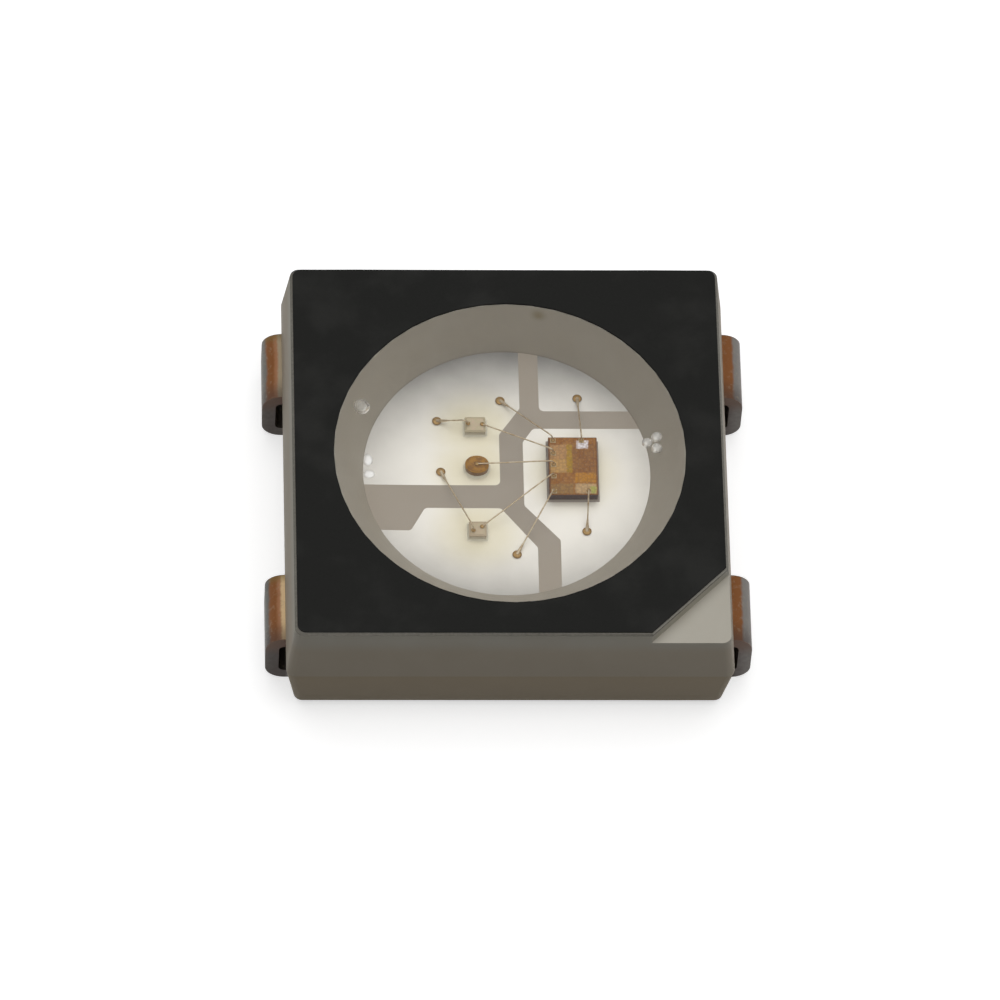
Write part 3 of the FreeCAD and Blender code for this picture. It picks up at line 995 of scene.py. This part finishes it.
def wire_lines(p):
    """The wires' centre lines as one mesh of edges, with each point's size of bond and width of wire."""
    points, edges, sizes, widths = [], [], [], []
    on_chip = (p.ball, p.ball, p.ball_height / 2)
    on_pad = (p.tack, p.tack, p.tack_height / 2)
    groups = (
        (WIRES_TO_PADS, p.pad_end, on_pad, p.tack_height, p.spread),
        (WIRES_TO_CHIPS, p.chip_end, on_chip, p.ball_height, 1.0),
    )
    for wires, far_radius, far_size, far_height, spread in groups:
        for node, toward in wires.items():
            near, far, chip_level, far_level = wire_ends(node, toward, p, far_radius)
            first = Vector((near.x, near.y, chip_level + p.ball_height / 2))
            top = Vector((near.x, near.y, chip_level + p.neck - p.radius))
            last = Vector((far.x, far.y, far_level + far_height / 2))
            narrow = last + (top - last).normalized() * p.tail
            start = len(points)
            points += [first, top, narrow, last]
            edges += [(start + i, start + i + 1) for i in range(3)]
            sizes += [on_chip, (0, 0, 0), (0, 0, 0), far_size]
            widths += [1.0, 1.0, 1.0, spread]
    mesh = bpy.data.meshes.new("wire_lines")
    mesh.from_pydata(points, edges, [])
    bonds = mesh.attributes.new("bond_size", "FLOAT_VECTOR", "POINT")
    bonds.data.foreach_set("vector", [value for size in sizes for value in size])
    mesh.attributes.new("wire_width", "FLOAT", "POINT").data.foreach_set("value", widths)
    return mesh


class LED_OT_stage(bpy.types.Operator):
    """Sets the camera, the soft light and the floor"""

    bl_idname = "led.stage"
    bl_label = "Stage"

    def execute(self, context):
        p = context.scene.led_stage
        self.camera(context, p)
        self.light(context, p)
        self.floor(context, p)
        context.scene.view_settings.view_transform = "Standard"
        return {"FINISHED"}

    def camera(self, context, p):
        """The camera at the photograph's viewing angle."""
        data = bpy.data.cameras.new("camera")
        data.lens = p.lens
        data.clip_start = p.distance / 10
        data.clip_end = p.distance * 100
        back = Vector((
            math.sin(p.azimuth) * math.cos(p.elevation),
            -math.cos(p.azimuth) * math.cos(p.elevation),
            math.sin(p.elevation),
        ))
        level_right = Vector((math.cos(p.azimuth), math.sin(p.azimuth), 0))
        level_up = back.cross(level_right)
        turn = Matrix.Rotation(p.roll, 3, back)
        right, up = turn @ level_right, turn @ level_up
        place = right * p.offset_x + up * p.offset_y + back * p.distance
        camera = bpy.data.objects.new("camera", data)
        camera.matrix_world = Matrix((right, up, back)).transposed().to_4x4()
        camera.matrix_world.translation = place
        context.scene.collection.objects.link(camera)
        context.scene.camera = camera

    def light(self, context, p):
        """A soft sky, brightest above. Seen straight, in metal or through resin it is white."""
        world = bpy.data.worlds.new("soft_sky")
        world.use_nodes = True
        context.scene.world = world
        g = Graph(world.node_tree)
        way = g.node("ShaderNodeTexCoord")[0]
        bright = Vector((math.tan(p.sky_side), math.tan(p.sky_lean), 1)).normalized()
        facing = g.node("ShaderNodeVectorMath", {"operation": "DOT_PRODUCT"}, {0: way, 1: bright})[1]
        strength = facing.step(p.sky_edge, 1).ramp(p.sky_low, p.sky_high)
        seen = g.camera_sees()
        strength = strength * (1 - seen) + seen
        sky = g.first("ShaderNodeBackground", Color=(1, 1, 1), Strength=strength)
        g.finish(sky, "ShaderNodeOutputWorld")

    def floor(self, context, p):
        """A pale floor that keeps the part's shadow."""
        made, g = material("floor")
        seen = g.camera_sees()
        tone = seen.ramp(p.floor_bounce, p.floor_colour)
        grey = g.node("ShaderNodeCombineColor", None, {0: tone, 1: tone, 2: tone})[0]
        matt = g.first("ShaderNodeBsdfDiffuse", Color=grey)
        glow = g.first("ShaderNodeEmission", Color=(1, 1, 1), Strength=seen * p.floor_glow)
        g.finish(g.node("ShaderNodeAddShader", None, {0: matt, 1: glow})[0])
        half = p.floor_half
        mesh = bpy.data.meshes.new("floor")
        corners = [(-half, -half, 0), (half, -half, 0), (half, half, 0), (-half, half, 0)]
        mesh.from_pydata(corners, [], [(0, 1, 2, 3)])
        mesh.materials.append(made)
        floor = bpy.data.objects.new("floor", mesh)
        context.scene.collection.objects.link(floor)


class LED_OT_housing(bpy.types.Operator):
    """Makes the housing with a smooth cup and gives it its moulded plastic"""

    bl_idname = "led.housing"
    bl_label = "Housing"

    def execute(self, context):
        made = white_plastic(context.scene.led_plastic, context.scene.led_ink)
        circles = []
        for row in range(WALL_ROWS + 1):
            rise = row / WALL_ROWS
            radius = FLOOR_RADIUS + (RIM_RADIUS - FLOOR_RADIUS) * rise
            height = PAD_LEVEL + (PLASTIC_TOP - PAD_LEVEL) * rise
            circles.append((radius, height, RIM_GROWTH * rise, RIM_SHIFT * rise))
        mesh = finer_copy("housing", "moulded_housing", circles)
        new_piece("moulded_housing", mesh, [made], ["housing"])
        return {"FINISHED"}


class LED_OT_print(bpy.types.Operator):
    """Makes the black print with a smooth window"""

    bl_idname = "led.print"
    bl_label = "Black print"

    def execute(self, context):
        made = black_ink(context.scene.led_ink)
        circles = []
        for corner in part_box("black_print"):
            circles.append((RIM_RADIUS + WINDOW_MARGIN, corner.z, RIM_GROWTH, RIM_SHIFT))
        mesh = finer_copy("black_print", "printed_face", circles)
        new_piece("printed_face", mesh, [made], ["black_print"])
        return {"FINISHED"}


class LED_OT_leads(bpy.types.Operator):
    """Gives the lead frame its plating"""

    bl_idname = "led.leads"
    bl_label = "Leads"

    def execute(self, context):
        metal = context.scene.led_metal
        made = silver_plating(metal)
        for node in LEADS:
            dress(node, made)
        # White beads at the foot of the cup's wall, standing as painted highlights
        shape = bmesh.new()
        for (x, y), sizes in GLINT_BEADS:
            place = Matrix.Translation((x, y, PAD_LEVEL)) @ Matrix.Diagonal((*sizes, 1))
            bmesh.ops.create_icosphere(shape, subdivisions=3, radius=1, matrix=place)
        mesh = smooth_mesh(shape, "plating_beads")
        new_piece("plating_beads", mesh, [bead_plating(metal)])
        return {"FINISHED"}


class LED_OT_chips(bpy.types.Operator):
    """Makes the chips and the glue at their feet"""

    bl_idname = "led.chips"
    bl_label = "Chips"

    def execute(self, context):
        p = context.scene.led_chip
        finishes = {"driver_chip": ("driver_silicon", driver_silicon(p))}
        crystals = (
            ("green_crystal", "green_chip", p.sage, p.blush, p.clear),
            ("red_crystal", "red_chip", p.amber, p.rust, p.rust),
            ("blue_crystal", "blue_chip", p.sand, p.sage, p.clear),
        )
        for slot, node, *tones in crystals:
            finishes[node] = (slot, light_crystal(slot, node, *tones))
        bonds = self.driver_bonds(context.scene.led_wire)
        for node, (slot, made) in finishes.items():
            name = DIES[node][0]
            shape = die_shape(node, p, bonds if node == "driver_chip" else ())
            new_piece(name, smooth_mesh(shape, name), [made], [node])
        glues = (
            ("pale_glue", p.glue, ("green", "red", "blue")),
            # The driver chip's dark glue also stands as painted shadow at its foot
            ("dark_glue", p.dark_glue, ("driver",)),
        )
        for name, tone, chips in glues:
            shape = glue_shape([chip + "_chip" for chip in chips], p)
            replaced = [chip + "_glue" for chip in chips]
            new_piece(name, smooth_mesh(shape, name), [chip_glue(name, tone)], replaced)
        return {"FINISHED"}

    def driver_bonds(self, wire):
        """Where wires start on the driver chip."""
        low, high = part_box("driver_chip")
        starts = []
        for wires, far_radius in ((WIRES_TO_PADS, wire.pad_end), (WIRES_TO_CHIPS, wire.chip_end)):
            for node, toward in wires.items():
                near = wire_ends(node, toward, wire, far_radius)[0]
                if low.x < near.x < high.x:
                    starts.append(near)
        return starts


class LED_OT_wires(bpy.types.Operator):
    """Sweeps the bond wires"""

    bl_idname = "led.wires"
    bl_label = "Bond wires"

    def execute(self, context):
        p = context.scene.led_wire
        metal = context.scene.led_metal
        wire = drawn_gold("gold_wire", metal.gold, metal.bond)
        bond = drawn_gold("gold_bond", metal.bond, metal.worn_bond)
        carrier = bpy.data.objects.new("wire_lines", wire_lines(p))
        context.scene.collection.objects.link(carrier)
        values = {"Wire radius": p.radius, "Bend radius": p.bend, "Sides": p.sides}
        mesh = evaluated_mesh(carrier, wire_tree(wire, bond), values, "bond_wires")
        new_piece("bond_wires", mesh, (), [*WIRES_TO_PADS, *WIRES_TO_CHIPS])
        return {"FINISHED"}


class LED_OT_resin(bpy.types.Operator):
    """Pours the clear resin"""

    bl_idname = "led.resin"
    bl_label = "Clear resin"

    def execute(self, context):
        p = context.scene.led_resin
        rim = RIM_RADIUS + RIM_GROWTH
        surface = []
        for i in range(SAG_STEPS, -1, -1):
            out = i / SAG_STEPS
            surface.append((rim * out, PLASTIC_TOP - p.sag * (1 - out ** SAG_POWER)))
        profile = [
            (0, PAD_LEVEL - p.overlap),
            (FLOOR_RADIUS + p.overlap, PAD_LEVEL - p.overlap),
            (rim + p.overlap, PLASTIC_TOP - p.overlap),
            *surface,
        ]
        shape = bmesh.new()
        lathe(shape, profile, p.turns)
        for vert in shape.verts:
            rise = max(0, (vert.co.z - PAD_LEVEL) / (PLASTIC_TOP - PAD_LEVEL))
            vert.co.x, vert.co.y = vert.co.xy + RIM_SHIFT * rise
        for centre, radius, skin in BUBBLES:
            bubble(shape, centre, radius, skin)
        finishes = [clear_resin(name, p, *numbers) for name, numbers in RESIN_FINISHES.items()]
        new_piece("resin_fill", smooth_mesh(shape, "resin_fill"), finishes, ["clear_resin"])
        return {"FINISHED"}


OPERATORS = (
    LED_OT_stage,
    LED_OT_housing,
    LED_OT_print,
    LED_OT_leads,
    LED_OT_chips,
    LED_OT_wires,
    LED_OT_resin,
)


class LED_PT_panel(bpy.types.Panel):
    """Lists the steps that dress the part"""

    bl_idname = "LED_PT_panel"
    bl_label = "LED looks"
    bl_space_type = "VIEW_3D"
    bl_region_type = "UI"
    bl_category = "LED"

    def draw(self, context):
        for operator in OPERATORS:
            self.layout.operator(operator.bl_idname)
        for name, group in SETTINGS.items():
            box = self.layout.box()
            box.label(text=group.__doc__)
            for key in group.__annotations__:
                box.prop(getattr(context.scene, name), key)


def register():
    for group in SETTINGS.values():
        bpy.utils.register_class(group)
    for name, group in SETTINGS.items():
        setattr(bpy.types.Scene, name, PointerProperty(type=group))
    for operator in (*OPERATORS, LED_PT_panel):
        bpy.utils.register_class(operator)


def unregister():
    for operator in (LED_PT_panel, *reversed(OPERATORS)):
        bpy.utils.unregister_class(operator)
    for name in SETTINGS:
        delattr(bpy.types.Scene, name)
    for group in SETTINGS.values():
        bpy.utils.unregister_class(group)


def main():
    register()
    for operator in OPERATORS:
        family, name = operator.bl_idname.split(".")
        getattr(getattr(bpy.ops, family), name)()
    bpy.context.view_layer.update()


if __name__ == "__main__":
    main()
